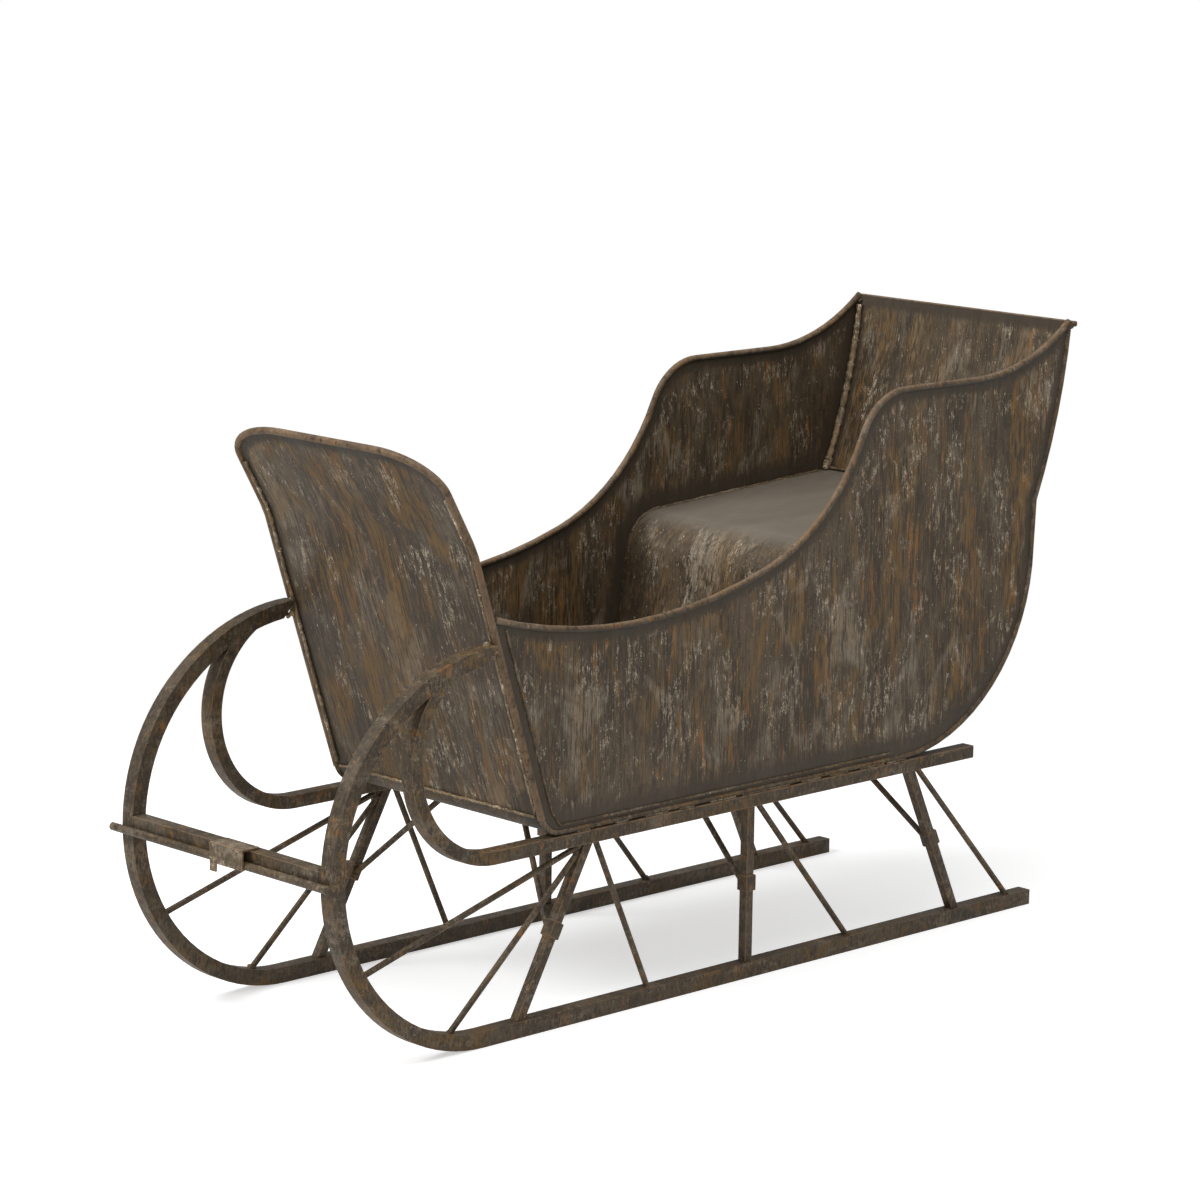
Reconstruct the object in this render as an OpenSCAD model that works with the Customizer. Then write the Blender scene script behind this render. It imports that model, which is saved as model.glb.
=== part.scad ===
// Horse drawn sleigh, one seat, all welded iron and sheet steel.
// The front faces -Y, +X is the sleigh's left, and Z = 0 is the ground under the runners.

/* [Runners] */
// Width over the outside of the two runners
track_w = 620; // [480:5:800]
// Side of the square bar of the runners, and width of the scroll braces and side rails
bar = 32; // [22:1:40]
// Y of the runners' rear ends
runner_rear_y = 952; // [850:1:1100]
// Y of the centre of the curl at the front of each runner
curl_y = -639; // [-720:1:-580]
// Outside radius of the lower part of the curl
curl_r = 380; // [330:1:430]
// Outside radius of the flatter upper part of the curl
crown_r = 430; // [400:1:480]
// Angle, seen from the left, at which the curl passes into its flatter upper part
crown_start = 135; // [125:1:145]

/* [Frame] */
// Height of the side rails' undersides
rail_z = 353; // [290:1:400]
// Height of the side rails' and scroll braces' bar
rail_h = 27; // [20:1:36]
// Y of the side rails' front ends
rail_front_y = -430; // [-470:1:-400]
// Y of the side rails' rear ends
rail_rear_y = 754; // [700:1:820]
// Height by which the scroll braces' circle laps over the runners' underside
scroll_lap = 41; // [25:1:60]
// Y of the centre of the scroll braces' bend
scroll_y = -610; // [-640:1:-580]
// Side of the square posts and cross members
post_w = 20; // [14:1:26]
// Side of the welded collar half way down each post
collar_w = 27; // [21:1:36]
// Diameter of the thin stays and inner braces
stay_d = 12; // [8:0.5:16]
// Height of the collars' middles
collar_z = 195; // [150:1:240]
// Distance from the centre line at which the inner braces reach their cross member
brace_reach = 120; // [60:1:180]

/* [Body] */
// Thickness of the sheet metal
sheet = 2; // [1:0.5:4]
// Diameter of the rod along the open edges
rim_d = 14; // [10:0.5:18]
// Diameter of the rod in the closed edges of the sides
bead_d = 12; // [8:0.5:16]
// Distance from the outside of the runners in to the middle of each side panel
side_inset = 10; // [6:1:14]
// Y at which the dash line meets the floor
dash_foot_y = -475; // [-520:1:-440]
// Lean of the dash from the vertical
dash_lean = 18.5; // [10:0.5:26]
// Lean of the curled top of the dash
dash_curl_lean = 30; // [27:0.5:45]
// Height at which the dash starts to curl
dash_curl_z = 948; // [930:1:1010]
// Bending radius of the dash's curl
dash_curl_r = 115; // [80:1:400]
// Height of the dash
dash_top_z = 1141; // [1120:1:1180]
// Length by which the rod behind the back stands out on the left
back_rim_stub = 12; // [0:1:30]
// Width of the dash's rounded top corners
dash_corner_w = 164; // [80:1:240]
// Height of the dash's rounded top corners
dash_corner_h = 78; // [60:1:200]
// Radius of the body's lower front corner
toe_r = 48; // [35:1:60]
// Y of the lowest point of the belly curve behind the seat
belly_y = 531; // [480:1:560]
// Radius of the belly curve
belly_r = 398; // [360:1:420]
// Height at which the back starts to lean
back_kink_z = 884; // [840:1:930]
// Y of the top of the back
back_top_y = 1029; // [990:1:1060]
// Height of the top of the back
back_top_z = 1255; // [1200:1:1290]
// Height of the sides beside the seat
arm_z = 1155; // [1120:1:1180]
// Y at which the sides start to rise to the back
arm_rear_y = 743; // [700:1:780]
// Y at which the sides start to fall to the front
arm_front_y = 517; // [490:1:560]
// Radius of the sides' shoulder
shoulder_r = 133; // [110:1:160]
// Slope of the sides below the shoulder, in degrees
sweep_slope = 65.6; // [60:0.1:70]
// Radius of the sweep below the shoulder
sweep_r = 461; // [420:1:490]
// Radius of the long sweep to the front
waist_r = 1214; // [1100:1:1400]
// Slope at which the two sweeps meet, in degrees
waist_slope = 18.4; // [15:0.1:22]

/* [Seat] */
// Height of the seat where it meets the back
seat_back_z = 874; // [850:1:880]
// Slope of the seat towards the front, in degrees
seat_slope = 3.4; // [0:0.1:6]
// Y of the front edge of the seat
seat_front_y = 314; // [280:1:360]
// Radius of the rolled front of the seat
seat_roll_r = 95; // [60:1:120]
// Slant of the seat's front panel from the vertical, in degrees
seat_skirt_lean = 7; // [0:0.5:10]

/* [Draft bar] */
// Leg of the angle iron between the curls
angle_leg = 32; // [24:1:40]
// Thickness of the angle iron
angle_t = 4; // [3:0.5:6]
// Height of the top of the angle iron
angle_top_z = 403; // [390:1:430]
// Diameter of the draft rod
draft_d = 16; // [12:0.5:20]
// Height of the draft rod's centre
draft_z = 375; // [360:1:385]
// Length by which the draft rod sticks out past the right runner
draft_overhang = 20; // [10:1:40]
// Width of the welded shaft plate
clip_w = 96; // [60:1:140]
// X of the middle of the shaft plate
clip_x = 30; // [-60:1:60]

/* [Hidden] */
$fn = 64;
SIDES = [["left", 1], ["right", -1]];

IRON = "#4a443c";
SHEET_IRON = "#4d463d";
RUBBED_IRON = "#6b5f50";

bar_x = track_w / 2 - bar / 2;
side_x = track_w / 2 - side_inset;
rail_top_z = rail_z + rail_h;
curl_c = [curl_y, curl_r];
crown_c = curl_c + (curl_r - crown_r) * [cos(crown_start), sin(crown_start)];
scroll_r = (crown_c.y + crown_r - bar + scroll_lap - rail_z) / 2;
scroll_c = [scroll_y, rail_z + scroll_r];
floor_z = rail_top_z + bead_d / 2;

// Columns: name, Y of the post's top, Y of its foot.
POSTS = [["front", -364, -539], ["middle", 87, 87], ["rear", 565, 715]];
// Columns: name, Y and Z of the upper end, Y and Z of the lower end, all on the stay's centre line.
STAYS = [
    ["front_upper", -384, rail_z - 5, -930, 192],
    ["front_lower", -404, rail_z - 35, -718, bar + 4],
    ["front_back", -338, rail_z, -191, bar],
    ["middle", 115, rail_z, 386, bar],
    ["rear", 592, rail_z, 888, bar]
];

// ---- Plane figures: the first number is Y and the second is Z.

function direction(a) = [cos(a), sin(a)];
function arc(c, r, from, to, steps) =
    [for (i = [0:steps]) c + r * direction(from + (to - from) * i / steps)];
function distinct(p) = [for (i = [0:len(p) - 1]) if (i == 0 || norm(p[i] - p[max(i, 1) - 1]) > 0.01) p[i]];
function unit(v) = v / norm(v);
function left_of(v) = [-v.y, v.x];
// The outline p, whose inside is on its left, moved inwards by d.
function inset(p, d) = [for (i = [0:len(p) - 1])
    let (
        before = unit(p[i] - p[(i + len(p) - 1) % len(p)]),
        after = unit(p[(i + 1) % len(p)] - p[i]),
        m = left_of(before) + left_of(after)
    ) p[i] + 2 * d * m / (m * m)];
// The open line p, moved to its left by d.
function beside(p, d) = [for (i = [0:len(p) - 1])
    let (
        before = unit(p[max(i, 1)] - p[max(i, 1) - 1]),
        after = unit(p[min(i + 1, len(p) - 1)] - p[min(i, len(p) - 2)]),
        m = left_of(before) + left_of(after)
    ) p[i] + 2 * d * m / (m * m)];
function strip(p, t) = concat(
    beside(p, -t / 2), [for (i = [len(p) - 1:-1:0]) beside(p, t / 2)[i]]);

// Dash line: straight, then a curl, then straight to the top.
dash_dir = [-sin(dash_lean), cos(dash_lean)];
dash_top_dir = [-sin(dash_curl_lean), cos(dash_curl_lean)];
dash_foot = [dash_foot_y, floor_z];
dash_bend = dash_foot + dash_dir * (dash_curl_z - floor_z) / cos(dash_lean);
dash_curl_c = dash_bend + dash_curl_r * [-cos(dash_lean), -sin(dash_lean)];
dash_curl_end = dash_curl_c + dash_curl_r * direction(dash_curl_lean);
dash_top = dash_curl_end + dash_top_dir * (dash_top_z - dash_curl_end.y) / cos(dash_curl_lean);

// Toe: the body's rounded lower front corner, which belongs to the floor pan.
toe_turn = 90 - dash_lean;
toe_c = [dash_foot_y + toe_r * tan(toe_turn / 2), floor_z + toe_r];
toe_end = toe_c + toe_r * direction(180 + dash_lean);

// Back line: the belly curve, a short straight to the kink, then a long flat arc.
belly_c = [belly_y, floor_z + belly_r];
belly_end = belly_c + [belly_r, 0];
back_drift = 5;
back_bulge = 14;
back_kink = [belly_end.x + back_drift, back_kink_z];
back_top = [back_top_y, back_top_z];

// Side rim, from the back to the dash, as tangent arcs.
flick_run = back_top_y - arm_rear_y;
flick_rise = back_top_z - arm_z;
flick_r = (flick_run * flick_run + flick_rise * flick_rise) / (2 * flick_rise);
flick_turn = asin(flick_run / flick_r);
flick_c = [arm_rear_y, arm_z + flick_r];
shoulder_c = [arm_front_y, arm_z - shoulder_r];
shoulder_end = shoulder_c + shoulder_r * direction(90 + sweep_slope);
sweep_c = shoulder_end + sweep_r * direction(90 + sweep_slope);
sweep_end = sweep_c + sweep_r * direction(270 + waist_slope);
waist_c = sweep_end + waist_r * direction(90 + waist_slope);
// The rim ends on the dash line, where the long sweep crosses it.
dash_normal = [cos(dash_lean), sin(dash_lean)];
waist_off = (waist_c - dash_foot) * dash_normal;
waist_end_angle = 180 + dash_lean + acos(waist_off / waist_r);

// Rim pieces. Columns: centre, radius, start angle, end angle. Angles run along the rim from the back.
RIM_ARCS = [
    [flick_c, flick_r, 270 + flick_turn, 270],
    [shoulder_c, shoulder_r, 90, 90 + sweep_slope],
    [sweep_c, sweep_r, 270 + sweep_slope, 270 + waist_slope],
    [waist_c, waist_r, 270 + waist_slope, waist_end_angle]
];
rim_line = distinct([for (a = RIM_ARCS) each arc(a[0], a[1], a[2], a[3], 10)]);

// A long flat arc between two points, which stands out by bulge half way.
function flat_arc_r(a, b, bulge) = (norm(b - a) * norm(b - a) / 4 + bulge * bulge) / (2 * bulge);
function flat_arc_c(a, b, bulge) =
    (a + b) / 2 + left_of(unit(b - a)) * (flat_arc_r(a, b, bulge) - bulge);
back_r = flat_arc_r(back_kink, back_top, back_bulge);
back_c = flat_arc_c(back_kink, back_top, back_bulge);
back_from = atan2(back_kink.y - back_c.y, back_kink.x - back_c.x);
back_to = atan2(back_top.y - back_c.y, back_top.x - back_c.x);

belly_line = arc(belly_c, belly_r, 270, 360, 16);
back_line = arc(back_c, back_r, back_from, back_to, 6);
toe_line = arc(toe_c, toe_r, 180 + dash_lean, 270, 8);
dash_line = concat([toe_end], arc(dash_curl_c, dash_curl_r, dash_lean, dash_curl_lean, 6), [dash_top]);
// Starts at the front of the floor and runs round by the back, so its inside is on its left.
body_line = distinct(concat(toe_line, belly_line, back_line, rim_line));

skirt_dir = [-sin(seat_skirt_lean), -cos(seat_skirt_lean)];
seat_back = [back_y(seat_back_z) - sheet / 2 * (1 + sin(seat_slope)), seat_back_z];
seat_roll_c = [seat_front_y + seat_roll_r, seat_at(seat_front_y + seat_roll_r) - seat_roll_r];
seat_skirt_top = seat_roll_c + seat_roll_r * direction(180 - seat_skirt_lean);
seat_skirt_drop = seat_skirt_top.y - floor_z - sheet / 2 * (1 + sin(seat_skirt_lean));
seat_skirt_foot = seat_skirt_top + skirt_dir * seat_skirt_drop / cos(seat_skirt_lean);
seat_line = concat([seat_back],
    arc(seat_roll_c, seat_roll_r, 90 + seat_slope, 180 - seat_skirt_lean, 12), [seat_skirt_foot]);

// Y of the back line's straight stretch at height z, and height of the seat at y.
function back_y(z) =
    belly_end.x + (back_kink.x - belly_end.x) * (z - belly_end.y) / (back_kink_z - belly_end.y);
function seat_at(y) = seat_back_z - (seat_back.x - y) * tan(seat_slope);

// ---- Solids from plane figures, and rods that lie in a plane of constant X.

module along_x(x, w) {
    translate([x - w / 2, 0, 0]) rotate([90, 0, 90]) linear_extrude(w) children();
}
module ring_sector(c, outer_r, thick, from, to) {
    translate(c) difference() {
        intersection() {
            circle(outer_r, $fn = 180);
            polygon(concat([[0, 0]], arc([0, 0], 2 * outer_r, from, to, 6)));
        }
        circle(outer_r - thick, $fn = 180);
    }
}
module rod(x, a, b, d) {
    translate([x, a.x, a.y]) rotate([-atan2(b.x - a.x, b.y - a.y), 0, 0]) cylinder(d = d, h = norm(b - a));
}
// A round rod along the points p, each [x, y, z], with one ring of points for each of them.
// The direction aside is never along the rod.
module bent_rod(p, d, aside) {
    sides = 14;
    last = len(p) - 1;
    rings = [for (i = [0:last])
        let (
            ahead = unit(p[min(i + 1, last)] - p[min(i, last - 1)]),
            behind = unit(p[max(i, 1)] - p[max(i, 1) - 1]),
            t = unit(ahead + behind),
            across = unit(cross(t, aside)),
            over = cross(t, across)
        ) each [for (k = [0:sides - 1])
            p[i] + d / 2 * (cos(360 * k / sides) * across + sin(360 * k / sides) * over)]];
    walls = [for (i = [0:last - 1], k = [0:sides - 1])
        let (a = i * sides, n = (k + 1) % sides) [a + k, a + n, a + n + sides, a + k + sides]];
    polyhedron(rings, concat(walls,
        [[for (k = [sides - 1:-1:0]) k]], [[for (k = [0:sides - 1]) last * sides + k]]));
}
function at_x(x, p) = [for (q = p) [x, q.x, q.y]];
// The open line p without the stretch of length d at its end.
function shortened(p, d) = let (n = len(p) - 1, run = p[n] - p[n - 1])
    norm(run) > d ? concat([for (i = [0:n - 1]) p[i]], [p[n] - d * unit(run)])
        : shortened([for (i = [0:n - 1]) p[i]], d - norm(run));

// ---- Sub-parts. side is 1 on the left and -1 on the right.

runner_tip = [dash_at(tip_z()) - rim_d / 2 / cos(dash_lean), tip_z()];
function dash_at(z) = dash_foot_y - (z - floor_z) * tan(dash_lean);
function tip_z() = crown_c.y + crown_r - 1;

module runner(side) {
    scarf = bar * 1.1;
    color(RUBBED_IRON) difference() {
        along_x(side * bar_x, bar) {
            translate([curl_y, 0]) square([runner_rear_y - curl_y, bar]);
            ring_sector(curl_c, curl_r, bar, crown_start, 270);
            ring_sector(crown_c, crown_r, bar, 80, crown_start);
        }
        // The tip is cut to the dash's edge rod and slanted away underneath.
        along_x(side * bar_x, bar * 2) polygon([
            runner_tip + [0, bar], runner_tip, runner_tip + [-scarf, -bar * 1.2],
            runner_tip + [bar * 8, -bar * 4], runner_tip + [bar * 8, bar * 4]]);
    }
}

module scroll_brace(side) {
    color(IRON) difference() {
        along_x(side * bar_x, bar) {
            translate([scroll_y, rail_z]) square([rail_front_y - scroll_y, rail_h]);
            ring_sector(scroll_c, scroll_r, rail_h, 105, 270);
        }
        // The upper end is cut to the inside of the runner's curl.
        along_x(side * bar_x, bar * 2) difference() {
            translate(crown_c) circle(crown_r * 1.5, $fn = 180);
            translate(crown_c) circle(crown_r - bar, $fn = 180);
        }
    }
}

module side_rail(side) {
    color(IRON) translate([side * bar_x - bar / 2, rail_front_y, rail_z])
        cube([bar, rail_rear_y - rail_front_y, rail_h]);
}

// A post's centre line runs from the rail's underside to the runner's top.
function post_at(p, z) = p[2] + (p[1] - p[2]) * (z - bar) / (rail_z - bar);
function post_lean(p) = atan2(p[1] - p[2], rail_z - bar);

module post_blank(p, side, w, z, h) {
    translate([side * bar_x, post_at(p, z), z]) rotate([-post_lean(p), 0, 0])
        translate([-w / 2, -w / 2, -h / 2]) cube([w, w, h]);
}
// Everything behind a post's front face.
module behind_post(p, side) {
    translate([side * bar_x, post_at(p, rail_z), rail_z]) rotate([-post_lean(p), 0, 0])
        translate([-bar, -post_w / 2, -rail_z * 1.5]) cube([2 * bar, rail_z, rail_z * 2]);
}
module post(p, side) {
    color(IRON) {
        intersection() {
            post_blank(p, side, post_w, (rail_z + bar) / 2, rail_z * 1.6);
            translate([side * bar_x - bar, -track_w * 2, bar]) cube([2 * bar, track_w * 4, rail_z - bar]);
        }
        post_blank(p, side, collar_w, collar_z, collar_w * 1.2);
    }
}

// From the post's collar, inwards and up to the cross member at the post's head.
module inner_brace(p, side) {
    inner_x = bar_x - collar_w / 2;
    under_z = floor_z - sheet / 2 - post_w;
    from = [inner_x, post_at(p, collar_z), collar_z];
    to = [brace_reach, p[1], under_z];
    run = to - from;
    past = run * stay_d / norm(run);
    color(IRON) mirror([side < 0 ? 1 : 0, 0, 0]) intersection() {
        translate(from - past) rotate([0, acos(run.z / norm(run)), atan2(run.y, run.x)])
            rotate([0, 0, 90]) cylinder(d = stay_d, h = norm(run) + 2 * stay_d);
        translate([0, p[1] - track_w, 0]) cube([inner_x, 2 * track_w, under_z]);
    }
}

module stay(s, side) {
    color(IRON) difference() {
        intersection() {
            rod(side * bar_x, [s[1], s[2]] + 2 * stay_d * unit([s[1] - s[3], s[2] - s[4]]),
                [s[3], s[4]] + 2 * stay_d * unit([s[3] - s[1], s[4] - s[2]]), stay_d);
            // The stays end on the rail, the runner and the inside of its curl.
            along_x(side * bar_x, bar) union() {
                translate([curl_y, bar]) square([runner_rear_y - curl_y, rail_z - bar]);
                translate(curl_c) intersection() {
                    circle(curl_r - bar, $fn = 180);
                    translate([-curl_r, -curl_r]) square([curl_r, curl_r + rail_z - curl_r]);
                }
            }
        }
        if (s[0] == "front_upper" || s[0] == "front_lower") behind_post(POSTS[0], side);
    }
}

module crossmember(p) {
    color(IRON) translate([bar / 2 - bar_x, p[1] - post_w / 2, floor_z - sheet / 2 - post_w])
        cube([2 * bar_x - bar, post_w, post_w]);
}

// Sheets run from edge rod to edge rod.
module bent_sheet(line, edge_d) {
    along_x(0, 2 * side_x - edge_d) polygon(strip(line, sheet));
}
module floor_pan() {
    color(SHEET_IRON) bent_sheet(concat(toe_line, [belly_line[0]]), bead_d);
}
module back_panel() {
    color(SHEET_IRON) bent_sheet(distinct(concat(belly_line, back_line)), rim_d);
}
// The seat is welded to the sides and the back, and notched round the rods in their corners.
module seat_shell() {
    notch = bead_d + 0.4;
    color(SHEET_IRON) difference() {
        along_x(0, 2 * side_x - sheet) polygon(strip(seat_line, sheet));
        for (s = [-1, 1], at = [seat_back, seat_skirt_foot])
            translate([s * side_x, at.x, at.y]) cube([notch, notch, notch], center = true);
    }
}

// The quarter turn of the dash's top corners, from the side to the top.
corner_turns = arc([0, 0], 1, 0, 90, 12);

module dash_panel() {
    color(SHEET_IRON) intersection() {
        bent_sheet(dash_line, rim_d);
        dash_face(rim_d / 2);
    }
}
// The dash's outline, with its rounded top corners, as a block square to the curled top.
module dash_face(edge) {
    w = 2 * side_x - 2 * edge;
    tall = dash_top.y;
    corner = [dash_corner_w - edge, dash_corner_h - edge];
    right_to_left = len(corner_turns) - 1;
    translate([0, dash_top.x, dash_top.y]) rotate([dash_curl_lean, 0, 0])
        translate([0, track_w / 2, -edge]) rotate([90, 0, 0]) linear_extrude(track_w) polygon(concat(
            [[-w / 2, -tall], [w / 2, -tall]],
            [for (t = corner_turns) [w / 2 - corner.x * (1 - t.x), -corner.y * (1 - t.y)]],
            [for (i = [right_to_left:-1:0]) let (t = corner_turns[i])
                [-w / 2 + corner.x * (1 - t.x), -corner.y * (1 - t.y)]]));
}

module side_panel(side) {
    color(SHEET_IRON) along_x(side * side_x, sheet) polygon(inset(body_line, bead_d / 2));
}

// The rim's rod is thicker than the bead's, and its centre lies that much further out.
rim_shift = (rim_d - bead_d) / 2;

// The dash's edge, laid out square to its curled top: u across, v up along the curled top.
dash_out = [0, cos(dash_curl_lean), sin(dash_curl_lean)];
dash_corner_v = dash_top * dash_top_dir - dash_corner_h;
function dash_point(v) =
    let (
        over = (v - dash_curl_c * dash_top_dir) / dash_curl_r,
        angle = dash_curl_lean + asin(min(max(over, -1), 0))
    ) over >= 0 ? dash_curl_end + (v - dash_curl_end * dash_top_dir) * dash_top_dir
        : angle > dash_lean ? dash_curl_c + dash_curl_r * direction(angle)
        : dash_bend + (v - dash_bend * dash_top_dir) / (dash_dir * dash_top_dir) * dash_dir;
function edge_point(u, v) = let (q = dash_point(v)) [u, q.x, q.y];
// From one toe up the dash's edge, round its top corners and down to the other toe.
module dash_rim() {
    from_v = dash_bend * dash_top_dir;
    up = [for (i = [0:5]) edge_point(side_x, from_v + (dash_corner_v - from_v) * i / 5)];
    corner = [for (i = [1:len(corner_turns) - 1]) let (t = corner_turns[i])
        edge_point(side_x - dash_corner_w * (1 - t.x), dash_corner_v + dash_corner_h * t.y)];
    half = concat([[side_x, toe_end.x, toe_end.y]], up, corner);
    other = [for (i = [len(half) - 1:-1:0]) [-half[i].x, half[i].y, half[i].z]];
    color(RUBBED_IRON) translate(rim_shift * [0, -cos(dash_lean), -sin(dash_lean)])
        bent_rod(concat(half, other), rim_d, dash_out);
}

// The open rim runs from the back's top corner to the dash's edge rod.
module side_rim(side) {
    axis = beside(shortened(rim_line, rim_d * 0.6), -rim_shift);
    color(RUBBED_IRON) bent_rod(at_x(side * side_x, axis), rim_d, [1, 0, 0]);
}
// Round rod behind the back's top edge. Its left end stands out past the side.
module back_rim() {
    color(RUBBED_IRON) translate([-side_x, back_top_y + (sheet + bead_d) / 2, back_top_z - bead_d / 3])
        rotate([0, 90, 0]) cylinder(d = bead_d, h = 2 * side_x + back_rim_stub);
}
// The closed edges: up from the toe, along the floor, round the belly and up the back.
module side_bead(side) {
    edge = distinct(concat(toe_line, belly_line, back_line));
    color(IRON) bent_rod(at_x(side * side_x, shortened(edge, rim_d * 0.75)), bead_d, [1, 0, 0]);
}

curl_front_y = curl_y - curl_r;
draft_y = curl_front_y - draft_d / 2;

module draft_angle() {
    color(IRON) along_x(0, 2 * bar_x - bar) difference() {
        translate([curl_front_y, angle_top_z - angle_leg]) square(angle_leg);
        translate([curl_front_y + angle_t, angle_top_z - angle_leg - angle_t]) square(angle_leg);
    }
}
module draft_rod() {
    color(IRON) translate([-track_w / 2 - draft_overhang, draft_y, draft_z]) rotate([0, 90, 0])
        cylinder(d = draft_d, h = track_w + draft_overhang);
}
// A bent plate over the angle and down in front of the rod, with a short tongue below its right end.
module shaft_plate() {
    plate_t = 5;
    tongue_w = 18;
    front = draft_y - draft_d / 2 - plate_t;
    reach = curl_front_y + angle_leg * 0.7 - front;
    left = clip_x - clip_w / 2;
    color(RUBBED_IRON) union() {
        translate([left, front, draft_z - draft_d / 2])
            cube([clip_w, plate_t, angle_top_z + plate_t - draft_z + draft_d / 2]);
        translate([left, front, angle_top_z]) cube([clip_w, reach, plate_t]);
        translate([left, front, draft_z - draft_d * 1.5]) cube([tongue_w, plate_t, draft_d * 1.5]);
    }
}

for (s = SIDES) {
    runner(s[1]);
    scroll_brace(s[1]);
    side_rail(s[1]);
    side_panel(s[1]);
    side_rim(s[1]);
    side_bead(s[1]);
    for (p = POSTS) {
        post(p, s[1]);
        inner_brace(p, s[1]);
    }
    for (t = STAYS) {
        stay(t, s[1]);
    }
}
for (p = POSTS) {
    crossmember(p);
}
floor_pan();
dash_panel();
back_panel();
seat_shell();
dash_rim();
back_rim();
draft_angle();
draft_rod();
shaft_plate();
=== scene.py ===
import math
import random

import bmesh
import bpy
from mathutils import Matrix, Vector, noise
from mathutils.bvhtree import BVHTree


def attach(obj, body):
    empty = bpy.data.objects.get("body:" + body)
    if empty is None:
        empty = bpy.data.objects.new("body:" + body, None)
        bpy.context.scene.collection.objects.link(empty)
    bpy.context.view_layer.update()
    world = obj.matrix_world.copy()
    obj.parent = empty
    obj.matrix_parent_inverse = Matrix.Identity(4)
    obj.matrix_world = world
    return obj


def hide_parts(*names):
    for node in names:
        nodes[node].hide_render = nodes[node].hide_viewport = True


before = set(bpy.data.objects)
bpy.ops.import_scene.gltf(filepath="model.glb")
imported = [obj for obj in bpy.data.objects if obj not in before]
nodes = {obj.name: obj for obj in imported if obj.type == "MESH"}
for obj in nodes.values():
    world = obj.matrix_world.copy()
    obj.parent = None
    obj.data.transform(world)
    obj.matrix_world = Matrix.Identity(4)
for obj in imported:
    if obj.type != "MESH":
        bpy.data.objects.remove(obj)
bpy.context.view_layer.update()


# ---- Camera and studio
# A long lens above head height, ahead of the sleigh on its left. A white room lights it evenly,
# with a large soft lamp high in front and another overhead, and the pale floor takes the shadow
# and fades to white further out.
camera_at = Vector((5.9677, -5.8382, 2.3601))
camera_azimuth = math.radians(45.87)
camera_elevation = math.radians(10.99)
camera_roll = math.radians(0.82)

look = Vector((-math.sin(camera_azimuth) * math.cos(camera_elevation),
               math.cos(camera_azimuth) * math.cos(camera_elevation),
               -math.sin(camera_elevation)))
level_right = look.cross(Vector((0, 0, 1))).normalized()
level_up = level_right.cross(look)
right = math.cos(camera_roll) * level_right + math.sin(camera_roll) * level_up
up = -math.sin(camera_roll) * level_right + math.cos(camera_roll) * level_up
camera_data = bpy.data.cameras.new("camera")
camera_data.sensor_width = 36
camera_data.lens = 126.33
camera = bpy.data.objects.new("camera", camera_data)
camera.matrix_world = Matrix.Translation(camera_at) @ Matrix((right, up, -look)).transposed().to_4x4()
bpy.context.scene.collection.objects.link(camera)
bpy.context.scene.camera = camera
bpy.context.scene.view_settings.view_transform = "Standard"


def add_node(tree, kind, values=None, **settings):
    """A new node of that kind, with its settings made and its inputs set or linked."""
    made = tree.nodes.new(kind)
    for key, value in settings.items():
        setattr(made, key, value)
    for key, value in (values or {}).items():
        if isinstance(value, bpy.types.NodeSocket):
            tree.links.new(value, made.inputs[key])
        else:
            made.inputs[key].default_value = value
    return made


def math_node(tree, operation, a, b=0.0):
    return add_node(tree, "ShaderNodeMath", {0: a, 1: b}, operation=operation).outputs[0]


def seen_directly(tree):
    """1 for rays that come from the camera, from a mirror or through glass."""
    path = add_node(tree, "ShaderNodeLightPath")
    straight = math_node(tree, "MAXIMUM", path.outputs["Is Camera Ray"],
                         path.outputs["Is Transmission Ray"])
    return math_node(tree, "MAXIMUM", straight, path.outputs["Is Glossy Ray"])


def white_room(strength):
    world = bpy.data.worlds.new("white_room")
    world.use_nodes = True
    tree = world.node_tree
    tree.nodes.clear()
    light = add_node(tree, "ShaderNodeBackground", {"Color": (1, 1, 1, 1), "Strength": strength})
    white = add_node(tree, "ShaderNodeBackground", {"Color": (1, 1, 1, 1), "Strength": 1.0})
    path = add_node(tree, "ShaderNodeLightPath")
    mix = add_node(tree, "ShaderNodeMixShader", {0: path.outputs["Is Camera Ray"], 1: light.outputs[0],
                                                 2: white.outputs[0]})
    add_node(tree, "ShaderNodeOutputWorld", {"Surface": mix.outputs[0]})
    bpy.context.scene.world = world


white_room(0.57)


def soft_lamp(name, at, target, size, power):
    lamp = bpy.data.lights.new(name, "AREA")
    lamp.shape = "DISK"
    lamp.size = size
    lamp.energy = power
    placed = bpy.data.objects.new(name, lamp)
    placed.location = at
    placed.rotation_euler = (Vector(target) - Vector(at)).to_track_quat("-Z", "Y").to_euler()
    bpy.context.scene.collection.objects.link(placed)


soft_lamp("key_lamp", (-1.8, -4.2, 5.2), (0, 0, 0.5), 3.2, 225)
soft_lamp("roof_lamp", (0.9, -0.3, 4.6), (0, 0, 0), 3.0, 80)

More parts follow.
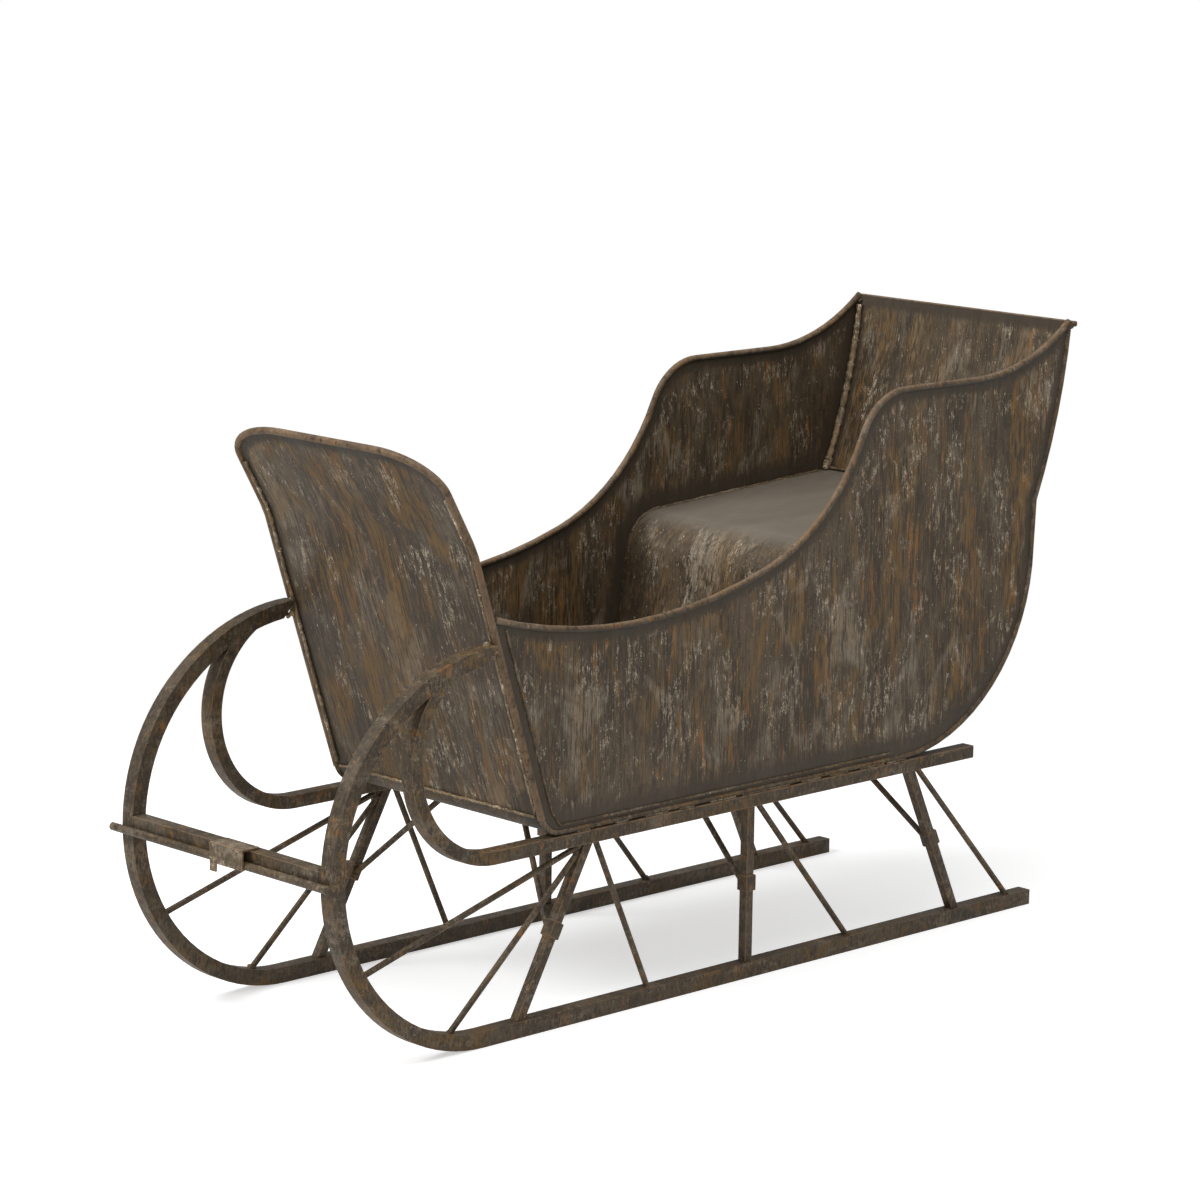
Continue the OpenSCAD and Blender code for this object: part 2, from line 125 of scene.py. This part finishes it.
floor_mesh = bpy.data.meshes.new("floor")
floor_shape = bmesh.new()
bmesh.ops.create_grid(floor_shape, x_segments=1, y_segments=1, size=40)
floor_shape.to_mesh(floor_mesh)
floor_shape.free()
floor = bpy.data.objects.new("floor", floor_mesh)
bpy.context.scene.collection.objects.link(floor)
floor_paint = bpy.data.materials.new("pale_floor")
floor_paint.use_nodes = True
floor_tree = floor_paint.node_tree
floor_shader = floor_tree.nodes["Principled BSDF"]
floor_shader.inputs["Base Color"].default_value = (0.8, 0.8, 0.8, 1)
floor_shader.inputs["Roughness"].default_value = 1.0
floor_shader.inputs["Specular IOR Level"].default_value = 0.0
glow = add_node(floor_tree, "ShaderNodeEmission", {"Color": (1, 1, 1, 1), "Strength": 0.5})
lifted = add_node(floor_tree, "ShaderNodeAddShader", {0: floor_shader.outputs[0], 1: glow.outputs[0]})
white = add_node(floor_tree, "ShaderNodeEmission", {"Color": (1, 1, 1, 1), "Strength": 1.0})
spot = add_node(floor_tree, "ShaderNodeTexCoord").outputs["Object"]
spread = add_node(floor_tree, "ShaderNodeVectorMath", {0: spot}, operation="LENGTH").outputs["Value"]
shadow_radius, white_radius = 1.5, 2.6
far_off = add_node(floor_tree, "ShaderNodeMapRange",
                   {"Value": spread, "From Min": shadow_radius, "From Max": white_radius},
                   interpolation_type="SMOOTHSTEP").outputs[0]
faded = add_node(floor_tree, "ShaderNodeMixShader", {0: far_off, 1: lifted.outputs[0], 2: white.outputs[0]})
shown = add_node(floor_tree, "ShaderNodeMixShader", {0: seen_directly(floor_tree), 1: floor_shader.outputs[0],
                                                     2: faded.outputs[0]})
floor_tree.links.new(shown.outputs[0], floor_tree.nodes["Material Output"].inputs["Surface"])
floor_mesh.materials.append(floor_paint)


# ---- Iron finish
# Every piece is iron with a thin brown patina that was brushed on and rubbed back: dark smears
# and fine brush lines, ochre and orange rust in streaks, grey haze, and flecks of bare scale.
def brushed_patina():
    """Colour, roughness and height of the patina, with painted shade, painted sheen and a painted highlight
    laid over it where marked. The vector's Z runs along the brush strokes.
    """
    tree = bpy.data.node_groups.new("brushed_patina", "ShaderNodeTree")
    for name, kind, value in (("Vector", "NodeSocketVector", None), ("Lightness", "NodeSocketFloat", 1.0),
                              ("Ochre", "NodeSocketFloat", 0.5), ("Rust", "NodeSocketFloat", 0.5),
                              ("Haze", "NodeSocketFloat", 0.5), ("Flecks", "NodeSocketFloat", 0.5),
                              ("Wear And Highlight", "NodeSocketFloat", 0.0), ("Shaded", "NodeSocketFloat", 0.0),
                              ("Painted Sheen", "NodeSocketFloat", 0.0)):
        socket = tree.interface.new_socket(name, in_out="INPUT", socket_type=kind)
        if value is not None:
            socket.default_value = value
    for name, kind in (("Color", "NodeSocketColor"), ("Roughness", "NodeSocketFloat"),
                       ("Height", "NodeSocketFloat")):
        tree.interface.new_socket(name, in_out="OUTPUT", socket_type=kind)
    given = add_node(tree, "NodeGroupInput").outputs

    def grain(across, along, detail=3.0, rough=0.55, distortion=0.0, shift=0.0):
        stretch = add_node(tree, "ShaderNodeMapping",
                           {"Vector": given["Vector"], "Scale": (across, across, along),
                            "Location": (shift, shift, shift)})
        return add_node(tree, "ShaderNodeTexNoise",
                        {"Vector": stretch.outputs[0], "Scale": 1.0, "Detail": detail,
                         "Roughness": rough, "Distortion": distortion}).outputs[0]

    def between(value, low, high):
        return add_node(tree, "ShaderNodeMapRange", {"Value": value, "From Min": low, "From Max": high},
                        interpolation_type="SMOOTHSTEP").outputs[0]

    def times(a, b):
        return math_node(tree, "MULTIPLY", a, b)

    def plus(a, b):
        return math_node(tree, "ADD", a, b)

    def tint(below, color, mask):
        return add_node(tree, "ShaderNodeMix", {0: mask, 6: below, 7: color}, data_type="RGBA").outputs[2]

    smear = grain(8, 4, 4, 0.55, 0.8, 1.7)
    brush = grain(310, 26, 3, 0.65, 0.4, 2.1)
    stroke = grain(75, 11, 4, 0.65, 0.6, 9.3)
    mottle = grain(95, 48, 5, 0.7, 0.8, 5.2)
    speck = grain(420, 210, 2, 0.6, 0.0, 6.6)
    patch = grain(10, 4, 4, 0.6, 0.9, 12.4)
    haze_patch = grain(9, 6, 4, 0.6, 1.0, 31.0)
    fleck_patch = grain(12, 8, 5, 0.65, 0.8, 22.6)
    # Painted shade, broken up by the mottle, and painted sheen calm the pattern under them.
    shade = between(plus(given["Shaded"], times(math_node(tree, "SUBTRACT", mottle, 0.5), 0.9)), 0.2, 0.7)
    quiet = math_node(tree, "MAXIMUM", times(shade, 0.8), times(given["Painted Sheen"], 0.9))
    calm = math_node(tree, "SUBTRACT", 1.0, quiet)

    base = tint((0.048, 0.034, 0.0195, 1), (0.098, 0.07, 0.041, 1),
                between(plus(times(smear, 0.55), times(stroke, 0.45)), 0.4, 0.6))
    base = tint(base, (0.033, 0.025, 0.017, 1), times(between(mottle, 0.5, 0.66), 0.6))
    base = tint(base, (0.175, 0.128, 0.079, 1), times(between(brush, 0.52, 0.7), times(calm, 0.6)))
    base = tint(base, (0.024, 0.018, 0.013, 1), times(between(brush, 0.46, 0.32), times(calm, 0.5)))
    streaky = plus(times(brush, 0.45), plus(times(stroke, 0.3), times(mottle, 0.25)))
    ochre = times(between(patch, 0.47, 0.62), between(streaky, 0.43, 0.56))
    base = tint(base, (0.2, 0.112, 0.036, 1), times(times(ochre, given["Ochre"]), times(calm, 0.7)))
    orange = times(between(grain(60, 7, 4, 0.65, 0.5, 40.5), 0.56, 0.68), between(streaky, 0.44, 0.56))
    base = tint(base, (0.27, 0.112, 0.025, 1), times(times(orange, given["Rust"]), times(calm, 0.85)))
    haze = times(between(haze_patch, 0.5, 0.66), between(streaky, 0.4, 0.56))
    base = tint(base, (0.28, 0.232, 0.17, 1), times(times(haze, given["Haze"]), times(calm, 0.65)))
    curl = math_node(tree, "ABSOLUTE", math_node(tree, "SUBTRACT", grain(210, 105, 3, 0.55, 1.6, 3.3), 0.5))
    worm = math_node(tree, "SUBTRACT", 1.0, between(curl, 0.012, 0.05))
    flake = between(grain(240, 110, 3, 0.6, 0.8, 51.0), 0.55, 0.62)
    broken = between(plus(times(grain(80, 40, 3, 0.6, 0, 17.0), 0.6), times(brush, 0.4)), 0.49, 0.56)
    fleck = times(math_node(tree, "MAXIMUM", worm, flake), times(broken, between(fleck_patch, 0.5, 0.61)))
    lone = times(between(grain(260, 120, 2, 0.5, 0.3, 71.0), 0.69, 0.74), between(patch, 0.62, 0.4))
    fleck = times(math_node(tree, "MAXIMUM", fleck, lone), times(given["Flecks"], calm))
    base = tint(base, (0.56, 0.47, 0.35, 1), times(fleck, 0.9))
    base = tint(base, (0.016, 0.013, 0.01, 1), times(between(speck, 0.6, 0.7), times(calm, 0.6)))
    # Painted shade darkens the colour where marked.
    base = tint(base, (0.046, 0.035, 0.024, 1), times(shade, 0.75))
    # Painted sheen: where marked, the top of the seat turns a pale grey.
    base = tint(base, (0.15, 0.13, 0.103, 1), times(given["Painted Sheen"], plus(0.55, times(smear, 0.5))))
    # Rubbed wear on eased edges and the dash rim; on the tops of the other edge rods it is partly a painted
    # highlight.
    wear_highlight_mask = times(given["Wear And Highlight"], between(plus(times(mottle, 0.6), times(stroke, 0.4)), 0.36, 0.56))
    base = tint(base, (0.235, 0.145, 0.08, 1), times(wear_highlight_mask, 0.8))
    color = add_node(tree, "ShaderNodeMix", {0: 1.0, 6: base, 7: given["Lightness"]}, data_type="RGBA",
                     blend_type="MULTIPLY").outputs[2]
    rough = plus(plus(0.5, times(mottle, 0.16)), plus(times(ochre, 0.14), times(fleck, 0.2)))
    height = plus(plus(times(brush, 0.4), times(mottle, 0.7)), plus(times(fleck, 0.7), times(speck, -0.3)))
    add_node(tree, "NodeGroupOutput", {"Color": color, "Roughness": rough, "Height": height})
    return tree


patina_group = brushed_patina()


def iron(name, turn=(0, 0, 0), flat=(1, 1, 1), lightness=1.0, ochre=0.5, rust=0.5, haze=0.5, flecks=0.5,
         bump=0.0005, shift=0.0):
    """The brushed patina as a material. turn brings the strokes upright, and flat evens out a bent sheet."""
    made = bpy.data.materials.new(name)
    made.use_nodes = True
    tree = made.node_tree
    shader = tree.nodes["Principled BSDF"]
    where = add_node(tree, "ShaderNodeTexCoord").outputs["Object"]
    turned = add_node(tree, "ShaderNodeMapping", {"Vector": where, "Rotation": turn})
    laid = add_node(tree, "ShaderNodeMapping", {"Vector": turned.outputs[0], "Scale": flat,
                                                "Location": (shift, shift, shift)})
    group = add_node(tree, "ShaderNodeGroup", node_tree=patina_group)
    tree.links.new(laid.outputs[0], group.inputs["Vector"])
    # The marks carry wear with painted highlight, painted shade and painted sheen.
    for mark, key in (("wear_and_highlight", "Wear And Highlight"), ("shaded", "Shaded"), ("painted_sheen", "Painted Sheen")):
        marked = add_node(tree, "ShaderNodeAttribute", attribute_name=mark)
        tree.links.new(marked.outputs["Fac"], group.inputs[key])
    for key, value in (("Lightness", lightness), ("Ochre", ochre), ("Rust", rust), ("Haze", haze),
                       ("Flecks", flecks)):
        group.inputs[key].default_value = value
    tree.links.new(group.outputs["Color"], shader.inputs["Base Color"])
    tree.links.new(group.outputs["Roughness"], shader.inputs["Roughness"])
    shader.inputs["Metallic"].default_value = 0.0
    shader.inputs["Specular IOR Level"].default_value = 0.28
    bumps = add_node(tree, "ShaderNodeBump",
                     {"Height": group.outputs["Height"], "Distance": bump, "Strength": 1.0})
    tree.links.new(bumps.outputs[0], shader.inputs["Normal"])
    return made


def bare_copy(node):
    """A closed bmesh of a CAD node, with its loose triangles joined into flat faces."""
    shape = bmesh.new()
    shape.from_mesh(nodes[node].data)
    bmesh.ops.remove_doubles(shape, verts=shape.verts, dist=0.00002)
    bmesh.ops.dissolve_limit(shape, angle_limit=math.radians(0.3), verts=shape.verts, edges=shape.edges)
    return shape


def finish_piece(name, shape, material, node, smooth=40):
    """Makes the bmesh a piece that stands for a CAD node, or rides beside the nodes where node is None."""
    mesh = bpy.data.meshes.new(name)
    shape.to_mesh(mesh)
    shape.free()
    mesh.materials.append(material)
    mesh.shade_smooth()
    mesh.set_sharp_from_angle(angle=math.radians(smooth))
    piece = bpy.data.objects.new(name, mesh)
    bpy.context.scene.collection.objects.link(piece)
    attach(piece, "root")
    if node:
        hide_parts(node)
    return piece


def eased_bar(node, name, material, ease, least_angle=35):
    """A CAD bar with its long edges eased, and the eased strips marked as worn."""
    shape = bare_copy(node)
    wear_and_highlight = shape.faces.layers.float.new("wear_and_highlight")
    sharp = [e for e in shape.edges
             if len(e.link_faces) == 2 and e.calc_face_angle(0) > math.radians(least_angle)]
    made = bmesh.ops.bevel(shape, geom=sharp, offset=ease, segments=2, profile=0.5, affect="EDGES",
                           clamp_overlap=True, material=-1)
    for face in made["faces"]:
        face[wear_and_highlight] = 1.0
    piece = finish_piece(name, shape, material, node)
    flat = piece.modifiers.new("flat_faces", "WEIGHTED_NORMAL")
    flat.keep_sharp = True


# ---- Runners
# Two square bars, one on each side, straight on the ground and bent up into a full curl at the
# front, where the slanted tip is welded to the dash's edge rod.
bar_ease = 0.0022
bar_iron = iron("bar_iron", flat=(0.6, 0.6, 3), lightness=0.88, ochre=0.7, rust=0.8, haze=0.45, flecks=0.35)
for side in ("left", "right"):
    eased_bar("runner_" + side, "runner_bar_" + side, bar_iron, bar_ease)

# ---- Scroll braces and side rails
# The same bar again: a smaller curl inside each runner's curl, welded to the runner's underside,
# and a straight rail under each side of the body.
for side in ("left", "right"):
    eased_bar("scroll_brace_" + side, "scroll_bar_" + side, bar_iron, bar_ease)
    eased_bar("side_rail_" + side, "rail_bar_" + side, bar_iron, bar_ease)

# ---- Posts, cross members and draft angle
# Lighter square bar, cut to length and welded, with a collar half way down each post and a cross
# member between each pair. The draft angle lies across the curls, and the shaft plate is on it.
thin_ease, angle_ease = 0.0015, 0.0012
plate_iron = iron("plate_iron", flat=(1, 1, 3), lightness=1.3, ochre=0.5, rust=0.3, haze=1.0, flecks=1.0)
for side in ("left", "right"):
    for place in ("front", "middle", "rear"):
        eased_bar(place + "_post_" + side, place + "_post_bar_" + side, bar_iron, thin_ease)
for place in ("front", "middle", "rear"):
    eased_bar(place + "_crossmember", place + "_cross_bar", bar_iron, thin_ease)
eased_bar("draft_angle", "draft_angle_iron", bar_iron, angle_ease)
eased_bar("shaft_plate", "shaft_plate_iron", plate_iron, thin_ease)

# ---- Stays, inner braces and draft rod
# Round rod, cut to length and welded at both ends: thin stays beside the posts, braces from the
# posts in to the cross members, and the draft rod in front of the draft angle.
rod_iron = iron("rod_iron", flat=(0.6, 0.6, 3), ochre=0.6, rust=0.7, haze=0.5, flecks=0.3)
rods = ["draft_rod"]
for side in ("left", "right"):
    rods += [place + "_stay_" + side
             for place in ("front_upper", "front_lower", "front_back", "middle", "rear")]
    rods += [place + "_brace_" + side for place in ("front", "middle", "rear")]
for rod in rods:
    finish_piece(rod + "_round", bare_copy(rod), rod_iron, rod)

# ---- Body
# Sheet steel: a floor that turns up at the toe, a leaning dash with rounded corners, two sides, a
# back and a seat. The patina was brushed on in upright strokes, and painted shade lies smooth and dark by the
# rods.
def cut_in_squares(shape, size):
    """Cuts the faces along the planes of a cubic grid."""
    low, high = zip(*((min(v.co[i] for v in shape.verts), max(v.co[i] for v in shape.verts))
                      for i in range(3)))
    for axis in range(3):
        plane = Vector([float(i == axis) for i in range(3)])
        for step in range(math.ceil(low[axis] / size), math.ceil(high[axis] / size)):
            bmesh.ops.bisect_plane(shape, geom=shape.verts[:] + shape.edges[:] + shape.faces[:],
                                   dist=0.00001, plane_co=plane * step * size, plane_no=plane)


def surface_of(names):
    """A search tree over the surfaces of those CAD nodes."""
    joined = bmesh.new()
    for name in names:
        joined.from_mesh(nodes[name].data)
    tree = BVHTree.FromBMesh(joined)
    joined.free()
    return tree


edge_rods = ("dash_rim", "back_rim", "side_rim_left", "side_rim_right", "side_bead_left", "side_bead_right")
rods_surface = surface_of(edge_rods)
seat_surface = surface_of(["seat_shell", "back_panel", "floor_pan"])
dash_slope = math.radians(18.5)
side_iron = iron("side_iron", ochre=1.0, rust=1.0, haze=0.9, flecks=1.0)
dash_iron = iron("dash_iron", turn=(-dash_slope, 0, 0), flat=(1, 0.3, 0.9), lightness=0.86,
                 ochre=1.2, rust=0.8, haze=0.6, flecks=1.2, shift=3.4)
back_iron = iron("back_iron", turn=(math.radians(-15), 0, 0), flat=(1, 0.2, 1), ochre=0.9, rust=0.8,
                 haze=0.7, flecks=0.9, shift=7.0)
floor_iron = iron("floor_iron", lightness=0.8, ochre=0.6, rust=0.6, haze=0.6, flecks=0.6, shift=9.0)
seat_iron = iron("seat_iron", turn=(math.radians(-35), 0, 0), flat=(1, 0.3, 1), lightness=1.1,
                 ochre=0.7, rust=0.5, haze=1.0, flecks=1.0, shift=5.0)
cut_size = 0.02
low_height, low_band, rod_band, seat_band = 0.46, 0.075, 0.032, 0.07
sheen_from, sheen_over = 0.72, 0.25
for node, made in (("side_panel_left", side_iron), ("side_panel_right", side_iron), ("dash_panel", dash_iron),
                   ("floor_pan", floor_iron), ("back_panel", back_iron), ("seat_shell", seat_iron)):
    shape = bare_copy(node)
    cut_in_squares(shape, cut_size)
    shaded = shape.verts.layers.float.new("shaded")
    painted_sheen = shape.verts.layers.float.new("painted_sheen")
    shape.normal_update()
    # Painted shade: darker within a band of the edge rods, wider low down, and on the sides' inner faces near
    # the seat, back and floor.
    for v in shape.verts:
        band = low_band if v.co.z < low_height else rod_band
        dark = 1 - rods_surface.find_nearest(v.co)[3] / band
        if node.startswith("side_panel") and v.co.x * v.normal.x < 0:
            dark = max(dark, 1 - seat_surface.find_nearest(v.co)[3] / seat_band)
        # The seat gets no painted shade; its upward faces get a painted sheen.
        if node == "seat_shell":
            dark = 0
            v[painted_sheen] = min(max((v.normal.z - sheen_from) / sheen_over, 0), 1)
        v[shaded] = min(max(dark, 0), 1)
    finish_piece(node + "_sheet", shape, made, node, smooth=30)

# ---- Edge rods
# Round rod bent to the outline of the sheets and welded along their edges, rubbed brown on top
# where hands and ropes run, which is partly a painted highlight, and painted shade beneath.
dash_rub, rim_wear_and_highlight, bead_wear_and_highlight, bead_shade = 0.75, 0.8, 0.3, 0.4
rim_iron = iron("rim_iron", flat=(0.7, 0.7, 2), lightness=0.9, ochre=0.8, rust=1.0, haze=0.6, flecks=0.4)
for node in edge_rods:
    shape = bare_copy(node)
    shape.normal_update()
    wear_and_highlight = shape.verts.layers.float.new("wear_and_highlight")
    shaded = shape.verts.layers.float.new("shaded")
    is_bead = "bead" in node
    # Rims and beads: the top is rubbed lighter, partly wear and partly painted highlight, and the underside
    # gets painted shade.
    for v in shape.verts:
        if node == "dash_rim":
            v[wear_and_highlight] = dash_rub
        else:
            v[wear_and_highlight] = min(max(v.normal.z + 0.2, 0), 1) * (bead_wear_and_highlight if is_bead else rim_wear_and_highlight)
            v[shaded] = min(max(0.1 - v.normal.z * 1.3, 0), 1) * (bead_shade if is_bead else 1)
    finish_piece(node + "_rod", shape, rim_iron, node, smooth=60)

# ---- Welds
# Uneven beads of weld along the seams of the sheets and in stitches over the side rails, ground
# back and left pale, and small lumps where rods, bars and the corners of sheets meet.
weld_iron = iron("weld_iron", flat=(1, 1, 3), lightness=2.5, ochre=0.4, rust=0.3, haze=1.0, flecks=1.0)
seam_iron = iron("seam_iron", flat=(1, 1, 3), lightness=1.15, ochre=0.5, rust=0.5, haze=0.8, flecks=0.8)
random.seed(11)


def run_of_weld(name, path, size, material, wander=0.0006):
    """An uneven bead of weld along the points of the path."""
    curve = bpy.data.curves.new(name, "CURVE")
    curve.dimensions = "3D"
    curve.bevel_depth = size
    curve.bevel_resolution = 1
    curve.use_fill_caps = True
    line = curve.splines.new("POLY")
    line.points.add(len(path) - 1)
    for point, at in zip(line.points, path):
        sway = Vector([random.uniform(-wander, wander) for _ in range(3)])
        point.co = (*(Vector(at) + sway), 1)
        point.radius = random.uniform(0.75, 1.15)
    drawn = bpy.data.objects.new(name + "_line", curve)
    shape = bmesh.new()
    shape.from_mesh(drawn.to_mesh())
    drawn.to_mesh_clear()
    bpy.data.objects.remove(drawn)
    bmesh.ops.remove_doubles(shape, verts=shape.verts, dist=0.00001)
    bmesh.ops.recalc_face_normals(shape, faces=shape.faces)
    finish_piece(name, shape, material, None, smooth=80)


def along(low, high, gap):
    count = max(round(abs(high - low) / gap), 1)
    return [low + (high - low) * i / count for i in range(count + 1)]


def met(surface, start, way):
    """The point where a line from start first meets the surface."""
    return surface.ray_cast(Vector(start), Vector(way))[0]


body_surface = surface_of(["back_panel", "seat_shell", "floor_pan", "dash_panel"])
rearward, downward = (0, 1, 0), (0, 0, -1)
ahead_y, inside_y, above_seat = -1.2, 0.6, 1.2
seam_x, bead_step, stitch_step = 0.2965, 0.006, 0.005
toe_y, toe_z, hem_foot, rail_face = -0.447, 0.386, 0.4, 0.3815
stitch_count, stitch_pitch, first_stitch = 11, 0.088, -0.4
for side, x in (("left", seam_x), ("right", -seam_x)):
    inner = x * 0.985
    corner = [met(body_surface, (inner, inside_y, z), rearward) for z in along(0.88, 1.235, bead_step)]
    run_of_weld("back_seam_" + side, [(x * 0.98, p.y - 0.006, p.z) for p in corner if p], 0.0075,
                weld_iron, wander=0.0003)
    top = [met(body_surface, (inner, y, above_seat), downward) for y in along(0.33, 0.9, bead_step)]
    run_of_weld("seat_seam_" + side, [(x, p.y, p.z) for p in top if p], 0.0035, seam_iron)
    fillet = [met(body_surface, (x * 0.972, ahead_y, z), rearward) for z in along(0.43, 1.06, bead_step)]
    run_of_weld("dash_seam_" + side, [(x * 0.978, p.y - 0.0035, p.z) for p in fillet if p], 0.0042,
                weld_iron)
    hem_x = x * 1.0192
    hem = [(hem_x, toe_y - (z - toe_z) * math.tan(dash_slope), z) for z in along(0.8, 0.43, bead_step)]
    hem += [(hem_x, y, hem_foot) for y in along(-0.44, 0.5, bead_step)]
    run_of_weld("side_hem_" + side, hem, 0.0028, seam_iron, wander=0.0004)
    for number in range(stitch_count):
        start = first_stitch + stitch_pitch * number + random.uniform(0, 0.02)
        end = start + random.uniform(0.03, 0.075)
        stitch = [(x * 1.03, y, rail_face) for y in along(start, end, stitch_step)]
        run_of_weld("rail_stitch_%s_%d" % (side, number + 1), stitch, 0.0026, seam_iron)
foot = [met(body_surface, (x, ahead_y, 0.421), rearward) for x in along(-0.285, 0.285, bead_step)]
run_of_weld("dash_foot_seam", [p - Vector((0, 0.0025, 0)) for p in foot if p], 0.003, weld_iron,
            wander=0.001)
seat_rear = [met(body_surface, (x, inside_y, 0.879), rearward) for x in along(-0.29, 0.29, bead_step)]
run_of_weld("seat_rear_seam", [p - Vector((0, 0.0035, 0)) for p in seat_rear if p], 0.004, seam_iron)


def blobs(name, places, material):
    """Lumps of weld in one piece. Each place is a point and a size."""
    unevenness, fineness = 0.45, 160
    shape = bmesh.new()
    for at, size in places:
        lump = bmesh.ops.create_icosphere(shape, subdivisions=3, radius=size,
                                          matrix=Matrix.Translation(at))
        for v in lump["verts"]:
            out = v.co - Vector(at)
            v.co += out * unevenness * noise.noise(v.co * fineness)
    finish_piece(name, shape, material, None, smooth=80)


def ends_of(node):
    """The middles of the lower and the upper end of a node."""
    points = sorted((v.co.copy() for v in nodes[node].data.vertices), key=lambda p: p.z)
    slice_height = 0.004
    low = [p for p in points if p.z < points[0].z + slice_height]
    high = [p for p in points if p.z > points[-1].z - slice_height]
    return sum(low, Vector()) / len(low), sum(high, Vector()) / len(high)


rod_ends = []
for rod in rods[1:]:
    rod_ends += [(end, random.uniform(0.006, 0.009)) for end in ends_of(rod)]
blobs("rod_end_welds", rod_ends, bar_iron)
tips = []
tip_x, tip_y, tip_z = 0.294, -0.607, 0.773
for x in (tip_x, -tip_x):
    for _ in range(5):
        at = (x + random.uniform(-0.012, 0.012), tip_y - random.uniform(0, 0.02),
              tip_z - random.uniform(0, 0.03))
        tips.append((at, random.uniform(0.005, 0.008)))
blobs("runner_tip_welds", tips, weld_iron)
corners = []
corner_x, corner_z = 0.29, 0.882
for x in (corner_x, -corner_x):
    for number in range(6):
        hit = met(body_surface, (x * 0.96, inside_y, corner_z + 0.004 * number), rearward)
        at = (x, hit.y - 0.004 - 0.012 * random.random(), hit.z - 0.003)
        corners.append((at, random.uniform(0.005, 0.008)))
blobs("seat_corner_welds", corners, weld_iron)
rear_corners = []
rear_x = 0.3
for x in (rear_x, -rear_x):
    rear_corners += [((x, 1.03, 1.247), 0.0085), ((x, 1.024, 1.2395), 0.0075),
                     ((x * 0.985, 1.0255, 1.2415), 0.0065)]
blobs("rear_corner_welds", rear_corners, rim_iron)
